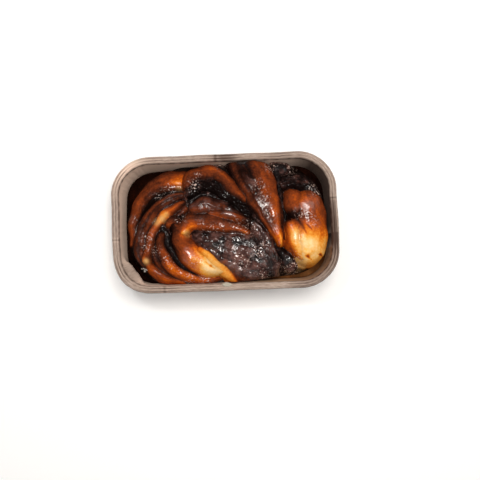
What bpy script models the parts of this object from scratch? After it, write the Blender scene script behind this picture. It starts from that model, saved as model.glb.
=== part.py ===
"""Chocolate babka in its paper loaf case.

A babka is a sheet of dough rolled up round a chocolate filling, cut lengthwise and twisted, then baked in a
loaf case. The strands of dough fuse as they bake, so the bread is one solid, and the filling shows where it
runs down between the strands. The case is pressed paperboard with its rim rolled over.

Metres, +Z up. +X runs along the loaf and +Y across it, towards the far long side. The origin is at the
middle of the underside of the case. Lengths in the tables and constants below are in millimetres and are
turned to metres by MM where a mesh is made.
"""

from collections import namedtuple

import bmesh
import bpy
import numpy as np

MM = 0.001

# Paper case, over the rolled rim
CASE_LENGTH = 158.0
CASE_WIDTH = 96.0
CASE_HEIGHT = 50.0
CASE_CORNER_RADIUS = 27.0
RIM_WIDTH = 5.0
RIM_DEPTH = 4.0
BOARD = 1.0
WALL_DRAFT = 5.4
WALL_TOP = 45.6
WALL_FOOT = 3.5
CORNER_STEPS = 8
BEND_STEPS = 3
RIM_STEPS = 10

# Loaf, as it lies in the case
LOAF_GAP = 0.3
LOAF_LEFT = 69.0
LOAF_RIGHT = 71.2
LOAF_FAR = 42.0
LOAF_NEAR = 42.0
LOAF_CORNERS = {"near_right": 27.0, "far_right": 36.0, "far_left": 45.0, "near_left": 31.0}
NEAR_DRAWN_IN = 0.085
NEAR_DRAWN_FROM = 5.0
NEAR_DRAWN_RUN = 45.0
CORNER_FILL = 0.85
FILLED_TO = 31.0
BASE_ROUNDING = 2.5
DOME_EDGE = 47.0
DOME_CREST = 60.0
DOME_RISE = 34.0
GROOVE_FLOOR = 12.0
STRAND_ROUND = 0.93
STRAND_FLANK = 3.5
STRAND_BLEND = 1.0
GRID_PITCH = 2.0
STRAIGHTENED_LENGTH = 0.83
STRAIGHTENED_WIDTH = 0.86
OUTLINE_STEPS = 16
ROUTE_STEPS = 8

# Dough stretched by hand: waves in where its strands lie
SLOW_WAVE = 0.35
QUICK_WAVE = 0.25

# Filling that runs down between the strands
FILLING_BOTTOM = 24.0
FILLING_GAP = 0.3
BAND_TOP = 90.0
BAND_STEPS = 4
BAND_END_STEPS = 5

Strand = namedtuple("Strand", "lift crown route creases", defaults=[()])
# lift: how far the strand's crest stands over the loaf's dome, or under it if negative.
# crown: how far the strand falls from its crest to its edge.
# route: points (x, y, half width) along the strand.
# creases: (place across from -1 to 1, half width in the same measure, depth) of grooves along the strand.
STRANDS = {
    "left_crust": Strand(
        -7.0,
        6.5,
        [(-66.4, -13, 1.6), (-66.4, -6, 3.2), (-65.6, 2.6, 4.6), (-63, 12, 6), (-57.8, 22.2, 7.2),
         (-49, 29, 8), (-39.4, 30.8, 7.8), (-30, 30.6, 7.9)],
        [(0.6, 0.09, 0.7)],
    ),
    "left_cut_face": Strand(
        -6.0,
        5.0,
        [(-29, 19.4, 2.6), (-39, 16.6, 3.6), (-47.6, 10.2, 4.4), (-54.2, 1.6, 4.8), (-58.6, -8, 4.8),
         (-60.4, -18, 4.6), (-57.4, -27, 3)],
        [(0.15, 0.14, 0.6), (-0.55, 0.12, 0.4)],
    ),
    "left_inner_leaf": Strand(
        -4.5,
        4.5,
        [(-28, 14, 1.8), (-34.5, 11.2, 2.6), (-41, 6.4, 3.1), (-47, -0.5, 3), (-51.4, -9, 3.1),
         (-54, -17, 3), (-55.8, -25, 2.6)],
        [(0.4, 0.16, 0.3)],
    ),
    "left_bridge": Strand(
        -7.5,
        5.0,
        [(-27.2, 23, 1.6), (-25.2, 17, 2), (-26.6, 10, 2.4), (-36, 3, 2.6)],
    ),
    "near_dark_fold": Strand(
        -9.0,
        6.0,
        [(-48.5, -7, 2.4), (-50.3, -14, 2.8), (-49.6, -22, 3), (-46.2, -29, 3.2), (-40.8, -34.8, 3.2),
         (-34, -38.6, 2.8)],
        [(0.0, 0.15, 0.5)],
    ),
    "near_outer_fold": Strand(
        -6.0,
        6.0,
        [(-54.6, -28, 3), (-51.4, -32.4, 3.8), (-46.4, -36.6, 3.9), (-39.5, -39.8, 3.2),
         (-31, -41.2, 2.4)],
    ),
    "near_ridge": Strand(
        -5.0,
        6.0,
        [(-44.4, -8, 3.4), (-45.2, -15, 4), (-43.2, -22.5, 4.2), (-38.4, -30, 4.4), (-31, -35.8, 4.2),
         (-22, -39.4, 3.6), (-12, -40.8, 2.8), (-4.5, -39.6, 2)],
        [(0.45, 0.14, 0.3)],
    ),
    "centre_flap": Strand(
        -4.0,
        6.0,
        [(-38.5, -0.5, 3), (-35.5, 1, 4.2), (-31, -1.5, 4.4), (-28, -6, 3.6)],
    ),
    "centre_crust": Strand(
        0.5,
        10.0,
        [(-33.2, -4, 4.2), (-31.4, -10.5, 5.4), (-28.4, -17, 7), (-22.8, -23.8, 9), (-15.4, -28.4, 8.8),
         (-8.4, -31.8, 6.2), (-3.4, -34.4, 3)],
    ),
    "centre_leaf": Strand(
        0.3,
        5.0,
        [(-17.5, -19, 2.4), (-13.6, -23, 3.6), (-8.8, -27.6, 4.2), (-3, -33.2, 3.9), (1.8, -38, 3),
         (5.6, -41.6, 1.8)],
    ),
    "centre_lip": Strand(
        2.0,
        6.5,
        [(-28, -5, 3.8), (-22.5, -0.8, 5.4), (-13, -0.8, 5.9), (-3, -2.6, 5), (6, -5, 3.5),
         (14.5, -8.4, 1.4)],
    ),
    "centre_cut_face": Strand(
        1.0,
        9.0,
        [(-19, -10.5, 4.8), (-9, -14.5, 9.5), (2, -20.5, 13.5), (12, -25, 16), (20.5, -30.5, 13),
         (26, -35.5, 8)],
        [(0.45, 0.05, 0.8), (0.0, 0.05, 0.6), (-0.45, 0.05, 0.7)],
    ),
    "cut_face_shoulder": Strand(
        -0.5,
        6.0,
        [(19.5, -3.5, 3.2), (25.2, -11, 4.2), (29.3, -21, 5), (31, -31, 5.5), (30.5, -36.5, 4.5)],
        [(0.1, 0.12, 0.6)],
    ),
    "arch_lump": Strand(
        -1.0,
        8.0,
        [(-20.5, 9.5, 4.4), (-13.5, 11.2, 6.2), (-5, 9.6, 6), (4, 6, 4.8), (18, -2.5, 3.4)],
    ),
    "arch_lip": Strand(
        0.5,
        5.0,
        [(-9, 5.6, 2.4), (-2, 4.6, 2.8), (6, 3.2, 2.8), (16, -1.4, 2.4)],
    ),
    "arch_crust": Strand(
        0.5,
        9.0,
        [(-25.5, 26, 3.2), (-22, 31.5, 5), (-15, 34.2, 5.8), (-7.5, 34.2, 6), (-1.5, 30.4, 5.4),
         (4, 24, 4.6), (9, 18.5, 3.4), (13.5, 13.5, 2)],
    ),
    "arch_cut_face": Strand(
        -2.0,
        6.0,
        [(-22.5, 20.5, 3.4), (-16.5, 26, 5), (-7.5, 25.6, 5.2), (0.5, 19.5, 4.6), (8.5, 12.6, 4),
         (16, 5.6, 3.4)],
        [(0.2, 0.15, 0.7)],
    ),
    "diagonal": Strand(
        2.5,
        10.0,
        [(16.2, 42, 12.8), (20.2, 32, 13.5), (25, 19.5, 11.8), (29.6, 6.5, 8.6), (33.6, -6, 5.1),
         (37, -16.8, 1.8)],
        [(0.05, 0.3, 1.2), (0.62, 0.08, 0.9)],
    ),
    "diagonal_edge": Strand(
        -3.5,
        5.0,
        [(37.2, 13, 2), (38.2, 3, 2.2), (38.6, -7, 1.8), (38.8, -13, 1.2)],
    ),
    "right_lobe": Strand(
        4.0,
        12.0,
        [(57.8, 8.4, 10.8), (59, 2.4, 11.9), (59.4, -7, 12.3), (58.6, -16, 12.8), (57, -22.8, 9.8)],
    ),
    "right_knob": Strand(
        2.4,
        7.0,
        [(48, 13.2, 5.8), (48.8, 10, 7.2), (49.4, 5.6, 6.2)],
    ),
    "right_fold": Strand(
        2.2,
        7.0,
        [(46, -4.8, 3.8), (47, -10, 5.2), (47.8, -16.5, 5.4), (50, -22.5, 4), (52.4, -27, 2.4)],
    ),
    "right_under_dough": Strand(
        -8.0,
        6.0,
        [(47.5, -29, 4.2), (53.5, -32.4, 3.4)],
    ),
    "far_right_cut_face": Strand(
        -3.5,
        9.0,
        [(41.5, 25.5, 6), (50, 26.6, 6.6), (58.8, 23.8, 6.4), (65.3, 16.5, 4.2)],
        [(0.35, 0.1, 0.8), (-0.15, 0.1, 0.8)],
    ),
}
FILLINGS = {
    "filling_left": Strand(
        -7.0,
        3.5,
        [(-44, -2, 2.2), (-41, -8.5, 3), (-38.8, -15.5, 3), (-35.2, -23.5, 2.8), (-29.2, -31, 2.4),
         (-21.6, -36, 2)],
    ),
    "filling_arch": Strand(
        -6.0,
        5.0,
        [(-24, 13, 3.4), (-20.5, 17.2, 3.2), (-13, 19, 3), (-5, 17, 3), (8, 8.8, 2.4)],
    ),
    "filling_centre": Strand(
        -5.5,
        6.0,
        [(-3.4, 46, 3.6), (-1.6, 38.5, 3), (5, 29, 2.4), (10.8, 19, 2.4), (16.6, 9.5, 2.8),
         (22.6, 0.5, 2.6), (28.6, -8.6, 2.4), (33.6, -16.6, 3.2), (38.4, -24, 4.4), (43.6, -30.4, 6)],
    ),
    "filling_right": Strand(
        -5.0,
        6.0,
        [(41, 47, 9), (40, 39.5, 7.8), (37.4, 31.5, 3.8), (38, 24, 2.6), (39.2, 16, 2.2),
         (40.6, 6.5, 2), (41.6, -2, 1.6)],
    ),
}


def route_samples(route, steps):
    """The route as a smooth curve: spans of cubics, each end's slope half the chord of its neighbours."""
    points = np.array(route, float)
    points = np.vstack([2 * points[0] - points[1], points, 2 * points[-1] - points[-2]])
    t = np.linspace(0, 1, steps, endpoint=False)[:, None]
    spans = []
    for before, start, end, after in zip(points, points[1:], points[2:], points[3:]):
        spans.append(
            start
            + 0.5 * (end - before) * t
            + 0.5 * (2 * before - 5 * start + 4 * end - after) * t**2
            + 0.5 * (3 * start - before - 3 * end + after) * t**3
        )
    return np.vstack(spans + [points[-2:-1]])


def across(x, y, route):
    """Share of the way from the strand's centreline to its edge, signed by side, and its half width there."""
    samples = route_samples(route, ROUTE_STEPS)
    nearest = np.full(x.shape, np.inf)
    side = np.zeros(x.shape)
    half_width = np.zeros(x.shape)
    for start, end in zip(samples, samples[1:]):
        step = end - start
        rx, ry = x - start[0], y - start[1]
        t = np.clip((rx * step[0] + ry * step[1]) / (step[:2] @ step[:2]), 0, 1)
        width = start[2] + t * step[2]
        share = np.hypot(rx - t * step[0], ry - t * step[1]) / width
        closer = share < nearest
        nearest = np.where(closer, share, nearest)
        side = np.where(closer, np.sign(step[1] * rx - step[0] * ry), side)
        half_width = np.where(closer, width, half_width)
    return nearest * side, half_width


def near_side(x, y):
    """Share that the loaf's near half keeps of its width, as it draws in towards the right."""
    share = np.clip((x - NEAR_DRAWN_FROM) / NEAR_DRAWN_RUN, 0, 1)
    return 1 - np.where(y < 0, NEAR_DRAWN_IN * share**2 * (3 - 2 * share), 0)


def depth_inside(x, y):
    """Distance in from the loaf's outline from above: a rectangle, each round corner with its own radius."""
    y = y / near_side(x, y)
    middle_x, middle_y = (LOAF_RIGHT - LOAF_LEFT) / 2, (LOAF_FAR - LOAF_NEAR) / 2
    half_x, half_y = (LOAF_RIGHT + LOAF_LEFT) / 2, (LOAF_FAR + LOAF_NEAR) / 2
    right, far = x > middle_x, y > middle_y
    radius = np.where(
        far,
        np.where(right, LOAF_CORNERS["far_right"], LOAF_CORNERS["far_left"]),
        np.where(right, LOAF_CORNERS["near_right"], LOAF_CORNERS["near_left"]),
    )
    qx = np.abs(x - middle_x) - half_x + radius
    qy = np.abs(y - middle_y) - half_y + radius
    return radius - np.hypot(np.maximum(qx, 0), np.maximum(qy, 0)) - np.minimum(np.maximum(qx, qy), 0)


def dome(x, y):
    """Height of the risen loaf: a quarter ellipse in from the outline, then level."""
    run = 1 - np.clip(depth_inside(x, y) / DOME_RISE, 0, 1)
    return DOME_EDGE + (DOME_CREST - DOME_EDGE) * np.sqrt(1 - run**2)


def uneven(x, y):
    """The places shifted by up to half a millimetre, as dough stretched by hand is never even."""
    shift_x = SLOW_WAVE * np.sin(0.19 * x + 0.33 * y + 1.3) + QUICK_WAVE * np.sin(0.47 * y - 0.21 * x)
    shift_y = SLOW_WAVE * np.sin(0.23 * x - 0.29 * y + 0.4) + QUICK_WAVE * np.sin(0.41 * x + 0.17 * y + 2.1)
    return x + shift_x, y + shift_y


def blend(a, b):
    """The higher of two heights, with the valley between them rounded."""
    near = np.maximum(STRAND_BLEND - np.abs(a - b), 0) / STRAND_BLEND
    return np.maximum(a, b) + near**2 * STRAND_BLEND / 4


def strand_height(x, y, strand):
    """A round crown across the strand, its crest at the dome's height plus its lift, then steep flanks."""
    v, half_width = across(x, y, strand.route)
    inside = np.minimum(np.abs(v), 1)
    height = dome(x, y) + strand.lift - strand.crown * (1 - np.sqrt(1 - (STRAND_ROUND * inside) ** 2))
    for place, reach, depth in strand.creases:
        height = height - depth * np.exp(-(((v - place) / reach) ** 2))
    return height - STRAND_FLANK * half_width * np.maximum(np.abs(v) - 1, 0)


def crust_height(x, y):
    """Height of the bread's top: the strands and the filling over the floor of the grooves between them."""
    px, py = uneven(x, y)
    height = dome(x, y) - GROOVE_FLOOR
    for strand in [*STRANDS.values(), *FILLINGS.values()]:
        height = blend(height, strand_height(px, py, strand))
    return height


def mean_crust_height(x, y):
    """The crust's height averaged over five places half a step apart, so no cliff falls between points."""
    step = GRID_PITCH / 2
    around = ((0, 0), (step, step), (-step, step), (-step, -step), (step, -step))
    return sum(crust_height(x + dx, y + dy) for dx, dy in around) / len(around)


def corner_arc(centre, radius, start_deg, steps):
    """Points of a quarter circle, counterclockwise."""
    angle = np.radians(start_deg + np.linspace(0, 90, steps + 1))
    return np.column_stack([centre[0] + radius * np.cos(angle), centre[1] + radius * np.sin(angle)])


def rounded_box(left, right, near, far, radii, steps):
    """Counterclockwise outline of four quarter circles, from the middle of the near right one."""
    near_right, far_right, far_left, near_left = radii
    first = corner_arc((right - near_right, near_right - near), near_right, -90, steps)
    arcs = [
        corner_arc((right - far_right, far - far_right), far_right, 0, steps),
        corner_arc((far_left - left, far - far_left), far_left, 90, steps),
        corner_arc((near_left - left, near_left - near), near_left, 180, steps),
    ]
    return np.vstack([first[steps // 2:], *arcs, first[: steps // 2 + 1]])


def loaf_sides(counts):
    """The loaf's outline as four sides of evenly spaced points that meet at the middles of its corners."""
    outline = rounded_box(LOAF_LEFT, LOAF_RIGHT, LOAF_NEAR, LOAF_FAR, LOAF_CORNERS.values(), OUTLINE_STEPS)
    run = np.concatenate([[0], np.cumsum(np.hypot(*np.diff(outline, axis=0).T))])
    stops = [*run[: -1 : OUTLINE_STEPS + 1], run[-1]]
    sides = []
    for start, end, count in zip(stops, stops[1:], counts):
        at = np.linspace(start, end, count + 1)
        sides.append(np.column_stack([np.interp(at, run, outline[:, k]) for k in (0, 1)]))
    return sides


def patch(right, far, left, near):
    """Grid of points between four sides that run counterclockwise, each carried over to the opposite one."""
    near_row, far_row = near, far[::-1]
    left_column, right_column = left[::-1], right
    u = np.linspace(0, 1, len(near_row))[:, None, None]
    v = np.linspace(0, 1, len(left_column))[None, :, None]
    between_rows = (1 - v) * near_row[:, None] + v * far_row[:, None]
    between_columns = (1 - u) * left_column[None] + u * right_column[None]
    corners = (
        (1 - u) * (1 - v) * near_row[0]
        + u * (1 - v) * near_row[-1]
        + (1 - u) * v * far_row[0]
        + u * v * far_row[-1]
    )
    return between_rows + between_columns - corners


def towards_wall(x, y, z, filled):
    """Points at height z moved to the case's wall less LOAF_GAP: wholly if beyond it, else by a share."""
    inset = RIM_WIDTH + WALL_DRAFT * (WALL_TOP - z) / (WALL_TOP - WALL_FOOT) + LOAF_GAP
    radius = CASE_CORNER_RADIUS - inset
    qx = np.maximum(np.abs(x) - (CASE_LENGTH / 2 - inset - radius), 0)
    qy = np.maximum(np.abs(y) - (CASE_WIDTH / 2 - inset - radius), 0)
    reach = np.hypot(qx, qy)
    beyond = (reach - radius) / np.maximum(reach, 1)
    move = np.where(beyond > 0, beyond, filled * beyond)
    return x - np.sign(x) * qx * move, y - np.sign(y) * qy * move


def whole_loaf_mesh():
    """The bread with its filling as one closed mesh: a grid over the top, sides and a flat base."""
    along = round((LOAF_LEFT + LOAF_RIGHT) / GRID_PITCH * STRAIGHTENED_LENGTH)
    over = round((LOAF_NEAR + LOAF_FAR) / GRID_PITCH * STRAIGHTENED_WIDTH)
    grid = patch(*loaf_sides([over, along, over, along]))
    grid[..., 1] *= near_side(grid[..., 0], grid[..., 1])
    columns, rows = grid.shape[:2]
    heights = mean_crust_height(grid[..., 0], grid[..., 1])
    xs, ys = towards_wall(grid[..., 0], grid[..., 1], np.minimum(heights, WALL_TOP), 0)
    mesh = bmesh.new()
    top = [
        [mesh.verts.new((xs[i, j] * MM, ys[i, j] * MM, heights[i, j] * MM)) for j in range(rows)]
        for i in range(columns)
    ]
    for i in range(columns - 1):
        for j in range(rows - 1):
            mesh.faces.new((top[i][j], top[i + 1][j], top[i + 1][j + 1], top[i][j + 1]))

    ring = (
        [top[i][0] for i in range(columns - 1)]
        + [top[-1][j] for j in range(rows - 1)]
        + [top[i][-1] for i in range(columns - 1, 0, -1)]
        + [top[0][j] for j in range(rows - 1, 0, -1)]
    )
    edge = np.array([vert.co[:] for vert in ring]) / MM
    base = BOARD + LOAF_GAP
    for z, inward in ((FILLED_TO, 0.0), (base + BASE_ROUNDING, 0.0), (base, BASE_ROUNDING)):
        shrink = 1 - inward / (CASE_WIDTH / 2)
        x, y = towards_wall(edge[:, 0], edge[:, 1], z, CORNER_FILL)
        below = [mesh.verts.new((px * shrink * MM, py * shrink * MM, z * MM)) for px, py in zip(x, y)]
        for i in range(len(ring)):
            after = (i + 1) % len(ring)
            mesh.faces.new((ring[i], below[i], below[after], ring[after]))
        ring = below
    mesh.faces.new(ring[::-1])
    bmesh.ops.recalc_face_normals(mesh, faces=mesh.faces)
    bmesh.ops.triangulate(mesh, faces=mesh.faces)
    data = bpy.data.meshes.new("whole_loaf")
    mesh.to_mesh(data)
    mesh.free()
    return data


def upright_band(name, strand, grow):
    """A prism along a filling's route, from the depth it reaches to well over the loaf, with round ends."""
    samples = route_samples(strand.route, BAND_STEPS)
    direction = np.gradient(samples[:, :2], axis=0)
    direction /= np.linalg.norm(direction, axis=1)[:, None]
    normal = np.column_stack([-direction[:, 1], direction[:, 0]])
    reach = (samples[:, 2] + grow)[:, None]
    left, right = samples[:, :2] + normal * reach, samples[:, :2] - normal * reach

    def cap(centre, start, radius):
        turned = np.pi * np.arange(1, BAND_END_STEPS) / BAND_END_STEPS
        angle = np.arctan2(*(start - centre)[::-1]) - turned
        return centre + radius * np.column_stack([np.cos(angle), np.sin(angle)])

    last = cap(samples[-1, :2], left[-1], reach[-1])
    first = cap(samples[0, :2], right[0], reach[0])
    outline = np.vstack([left, last, right[::-1], first])
    bottom = FILLING_BOTTOM - grow
    mesh = bmesh.new()
    face = mesh.faces.new([mesh.verts.new((x * MM, y * MM, bottom * MM)) for x, y in outline])
    raised = bmesh.ops.extrude_face_region(mesh, geom=[face])
    lifted = [v for v in raised["geom"] if isinstance(v, bmesh.types.BMVert)]
    bmesh.ops.translate(mesh, verts=lifted, vec=(0, 0, (BAND_TOP - bottom) * MM))
    bmesh.ops.recalc_face_normals(mesh, faces=mesh.faces)
    data = bpy.data.meshes.new(name)
    mesh.to_mesh(data)
    mesh.free()
    band = bpy.data.objects.new(name, data)
    bpy.context.scene.collection.objects.link(band)
    band.hide_render = True
    band.display_type = "WIRE"
    return band


def case_profile():
    """The case's section as (distance in from the rim's outside, height): up inside, then down outside."""
    floor_in = RIM_WIDTH + WALL_DRAFT
    bend = WALL_FOOT - BOARD
    turn = np.radians(np.linspace(0, 90, BEND_STEPS))
    towards_outside = np.column_stack([-np.sin(turn), -np.cos(turn)])
    bend_centre = np.array([floor_in + bend, WALL_FOOT])
    inside = bend_centre + bend * towards_outside
    roll = np.radians(np.linspace(180, -90, RIM_STEPS))
    rim = np.column_stack([
        RIM_WIDTH / 2 * (1 - np.cos(roll)),
        CASE_HEIGHT - RIM_DEPTH / 2 * (1 - np.sin(roll)),
    ])
    outside = bend_centre + (bend + BOARD) * towards_outside[::-1]
    return np.vstack([inside, (RIM_WIDTH, WALL_TOP), rim, (RIM_WIDTH - BOARD, WALL_TOP), outside])


def paper_case():
    """The section carried round a rounded rectangle and closed by the floor's two faces."""
    mesh = bmesh.new()
    rings = []
    for inset, z in case_profile():
        half_x, half_y = CASE_LENGTH / 2 - inset, CASE_WIDTH / 2 - inset
        radius = CASE_CORNER_RADIUS - inset
        outline = rounded_box(half_x, half_x, half_y, half_y, [radius] * 4, CORNER_STEPS)[:-1]
        rings.append([mesh.verts.new((x * MM, y * MM, z * MM)) for x, y in outline])
    for ring, after in zip(rings, rings[1:]):
        for i in range(len(ring)):
            j = (i + 1) % len(ring)
            mesh.faces.new((ring[i], ring[j], after[j], after[i]))
    mesh.faces.new(rings[0])
    mesh.faces.new(rings[-1])
    bmesh.ops.recalc_face_normals(mesh, faces=mesh.faces)
    data = bpy.data.meshes.new("paper_case")
    mesh.to_mesh(data)
    mesh.free()
    return data


def material(name, colour, roughness, coat=0.0):
    """A plain material: its colour, how rough it is and how much glaze lies over it."""
    made = bpy.data.materials.new(name)
    made.use_nodes = True
    shader = made.node_tree.nodes["Principled BSDF"]
    shader.inputs["Base Color"].default_value = (*colour, 1)
    shader.inputs["Roughness"].default_value = roughness
    shader.inputs["Metallic"].default_value = 0.0
    shader.inputs["Coat Weight"].default_value = coat
    return made


def add_object(name, data, finish):
    made = bpy.data.objects.new(name, data)
    bpy.context.scene.collection.objects.link(made)
    made.data.materials.clear()
    made.data.materials.append(finish)
    data.shade_smooth()
    data.set_sharp_from_angle(angle=np.radians(35))
    return made


def keep_or_cut(target, band, operation):
    modifier = target.modifiers.new(band.name, "BOOLEAN")
    modifier.operation = operation
    modifier.solver = "EXACT"
    modifier.object = band


def main():
    for old in list(bpy.data.objects):
        bpy.data.objects.remove(old)
    paper = material("greige_paperboard", (0.42, 0.30, 0.24), 0.85)
    crust = material("glazed_crust", (0.32, 0.10, 0.025), 0.35, 0.5)
    chocolate = material("baked_chocolate_filling", (0.035, 0.015, 0.010), 0.30, 0.6)

    add_object("paper_case", paper_case(), paper)
    bread = whole_loaf_mesh()
    loaf = add_object("loaf", bread.copy(), crust)
    for name, strand in FILLINGS.items():
        keep_or_cut(loaf, upright_band(name + "_channel", strand, FILLING_GAP), "DIFFERENCE")
        filling = add_object(name, bread.copy(), chocolate)
        keep_or_cut(filling, upright_band(name + "_plug", strand, 0.0), "INTERSECT")
    bpy.data.meshes.remove(bread)


main()
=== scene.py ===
"""Chocolate babka in its paper loaf case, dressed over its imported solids.

A sheet of enriched dough is rolled up round a chocolate filling, cut lengthwise, twisted so that the cut
layers face up, and baked in a pressed-paperboard loaf case. Lengths below are in millimetres and are turned
to metres by MM where a mesh is made. +X runs along the loaf and +Y across it, towards the far long side.
"""

from collections import namedtuple

import bpy
import numpy as np
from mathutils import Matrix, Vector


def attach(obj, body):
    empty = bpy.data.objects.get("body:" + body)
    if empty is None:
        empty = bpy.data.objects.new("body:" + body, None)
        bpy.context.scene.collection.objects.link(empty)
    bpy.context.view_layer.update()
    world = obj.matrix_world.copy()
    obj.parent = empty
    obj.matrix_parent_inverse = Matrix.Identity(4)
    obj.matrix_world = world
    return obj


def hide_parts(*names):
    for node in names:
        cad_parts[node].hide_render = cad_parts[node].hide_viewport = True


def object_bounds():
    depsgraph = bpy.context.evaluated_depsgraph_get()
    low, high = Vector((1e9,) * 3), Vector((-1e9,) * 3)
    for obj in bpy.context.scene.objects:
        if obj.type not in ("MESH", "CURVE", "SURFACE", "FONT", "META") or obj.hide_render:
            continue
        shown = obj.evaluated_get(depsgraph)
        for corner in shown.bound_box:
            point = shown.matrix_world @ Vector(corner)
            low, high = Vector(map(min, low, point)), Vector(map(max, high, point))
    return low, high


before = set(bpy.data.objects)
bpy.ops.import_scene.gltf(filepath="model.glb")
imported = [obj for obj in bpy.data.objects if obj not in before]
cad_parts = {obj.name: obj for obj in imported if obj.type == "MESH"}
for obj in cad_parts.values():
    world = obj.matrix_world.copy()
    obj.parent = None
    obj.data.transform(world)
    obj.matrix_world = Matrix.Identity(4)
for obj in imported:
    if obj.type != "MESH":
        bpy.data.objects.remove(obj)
cad_box = [list(corner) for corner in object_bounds()]

# Paper case
# A blank of greige paperboard is pressed between dies into a tray with sloping walls, its corners gathered
# into fine pleats, and its top edge is rolled outwards into a grooved bead. The near left wall has buckled.
MM = 0.001
CASE_LENGTH = 158.0
CASE_WIDTH = 96.0
CASE_HEIGHT = 50.0
CASE_CORNER_RADIUS = 27.0
RIM_WIDTH = 5.0
RIM_DEPTH = 4.0
BOARD = 1.0
WALL_DRAFT = 5.4
WALL_TOP = 45.6
WALL_FOOT = 3.5
PLEAT_PITCH = 3.2
PLEAT_DEPTH = 0.12
RIM_GROOVES = ((1.3, 0.2, 0.2), (3.2, 0.25, 0.35))
RIM_SEAMS = ((-5.0, 48.0), (-43.0, -48.0), (-79.0, -10.0), (79.0, 14.0))
BUCKLE_AT = (-73.4, -37.4)
BUCKLE_DEPTH = 7.0
BUCKLE_REACH = 13.0
BUCKLE_RISE = 9.0
BUCKLE_FOOT = 33.0
BUCKLE_FOOT_RISE = 7.0
INNER_POINTS = 44
ROLL_POINTS = 64
BEND_POINTS = 7
OUTLINE_STEPS = (40, 60)
CORNER_PLEATS = 8.0
WARP_DEPTH = 0.15
MOST_PUSHED_IN = 0.7


def linear(code):
    """The linear colour of an sRGB hex code: ((c + 0.055) / 1.055) ** 2.4 above 0.04045, else c / 12.92."""
    srgb = np.array([int(code[i : i + 2], 16) / 255 for i in (1, 3, 5)])
    return (*np.where(srgb > 0.04045, ((srgb + 0.055) / 1.055) ** 2.4, srgb / 12.92), 1.0)


def connect(tree, node, values):
    """Links a node's inputs to sockets, or sets them to numbers or colours, by name or place."""
    for name, value in values.items():
        if isinstance(value, bpy.types.NodeSocket):
            tree.links.new(value, node.inputs[name])
        else:
            node.inputs[name].default_value = value


def add_node(tree, kind, values=None, **settings):
    """A shader node of one kind with its settings made and its inputs connected."""
    made = tree.nodes.new(kind)
    for name, value in settings.items():
        setattr(made, name, value)
    connect(tree, made, values or {})
    return made


def maths(tree, operation, *values, **settings):
    """The result of one arithmetic step on sockets or numbers."""
    made = add_node(tree, "ShaderNodeMath", dict(enumerate(values)), operation=operation, **settings)
    return made.outputs[0]


def marked(tree, name, output="Fac"):
    """The value that each point of the mesh has under a name."""
    return add_node(tree, "ShaderNodeAttribute", attribute_name=name).outputs[output]


def noise(tree, place, scale, detail, roughness=0.5):
    """Cloudy noise from 0 to 1, with about scale clouds for each unit of place."""
    values = {"Vector": place, "Scale": scale, "Detail": detail, "Roughness": roughness}
    return add_node(tree, "ShaderNodeTexNoise", values).outputs["Fac"]


def blended(tree, factor, under, over, blend_type="MIX"):
    """The colour under with the colour over laid on it by factor."""
    values = {"Factor": factor, "A": under, "B": over}
    return add_node(tree, "ShaderNodeMix", values, data_type="RGBA", blend_type=blend_type).outputs["Result"]


def add_bump(tree, shader, height, strength, distance):
    """Tilts the shader's normals by a relief of height 0 to 1, distance metres deep."""
    bump = add_node(tree, "ShaderNodeBump", {"Height": height, "Strength": strength, "Distance": distance})
    tree.links.new(bump.outputs["Normal"], shader.inputs["Normal"])


def add_ramp(tree, factor, stops):
    """A colour ramp over factor with stops of place and sRGB hex code."""
    made = add_node(tree, "ShaderNodeValToRGB", {"Fac": factor})
    ramp = made.color_ramp
    while len(ramp.elements) < len(stops):
        ramp.elements.new(0.5)
    for element, (place, code) in zip(ramp.elements, stops):
        element.position = place
        element.color = linear(code)
    return made.outputs["Color"]


def new_material(name):
    """A material, its node tree and its surface shader."""
    made = bpy.data.materials.new(name)
    made.use_nodes = True
    return made, made.node_tree, made.node_tree.nodes["Principled BSDF"]


def ripple(x, y, wavelength, seed, waves=26):
    """Random relief about 0 with spread 1: the sum of plane waves cos(k . p + phase) near one wavelength."""
    rng = np.random.default_rng(seed)
    total = np.zeros(np.broadcast(x, y).shape)
    for heading, phase, stretch in rng.uniform((0, 0, 0.7), (np.pi, 2 * np.pi, 1.5), (waves, 3)):
        k = 2 * np.pi / (wavelength * stretch)
        total += np.cos(k * (x * np.cos(heading) + y * np.sin(heading)) + phase)
    return total * np.sqrt(2 / waves)


def rising(value, start, run):
    """Share that goes from 0 at start to 1 at start + run, where run may be below 0."""
    return np.clip((value - start) / run, 0, 1)


def distance_along(points):
    """Distance run along a line of points, from 0 at its first."""
    return np.concatenate([[0], np.cumsum(np.hypot(*np.diff(points, axis=0).T))])


def rounded_outline(left, right, near, far, radii, steps, straight):
    """Closed counterclockwise outline of quarter circles and straights, from amid the near right corner."""
    near_right, far_right, far_left, near_left = radii
    centres = (
        (right - near_right, near_right - near, near_right, -90),
        (right - far_right, far - far_right, far_right, 0),
        (far_left - left, far - far_left, far_left, 90),
        (near_left - left, near_left - near, near_left, 180),
        (right - near_right, near_right - near, near_right, -90),
    )
    arcs = []
    for x, y, radius, start in centres:
        angle = np.radians(start + np.linspace(0, 90, steps + 1))
        arcs.append(np.column_stack([x + radius * np.cos(angle), y + radius * np.sin(angle)]))
    arcs[0], arcs[-1] = arcs[0][steps // 2 :], arcs[-1][: steps // 2 + 1]
    points = [arcs[0]]
    share = np.linspace(0, 1, straight + 1)[1:-1, None]
    for before, after in zip(arcs, arcs[1:]):
        points += [before[-1] * (1 - share) + after[0] * share, after]
    return np.vstack(points)


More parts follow.
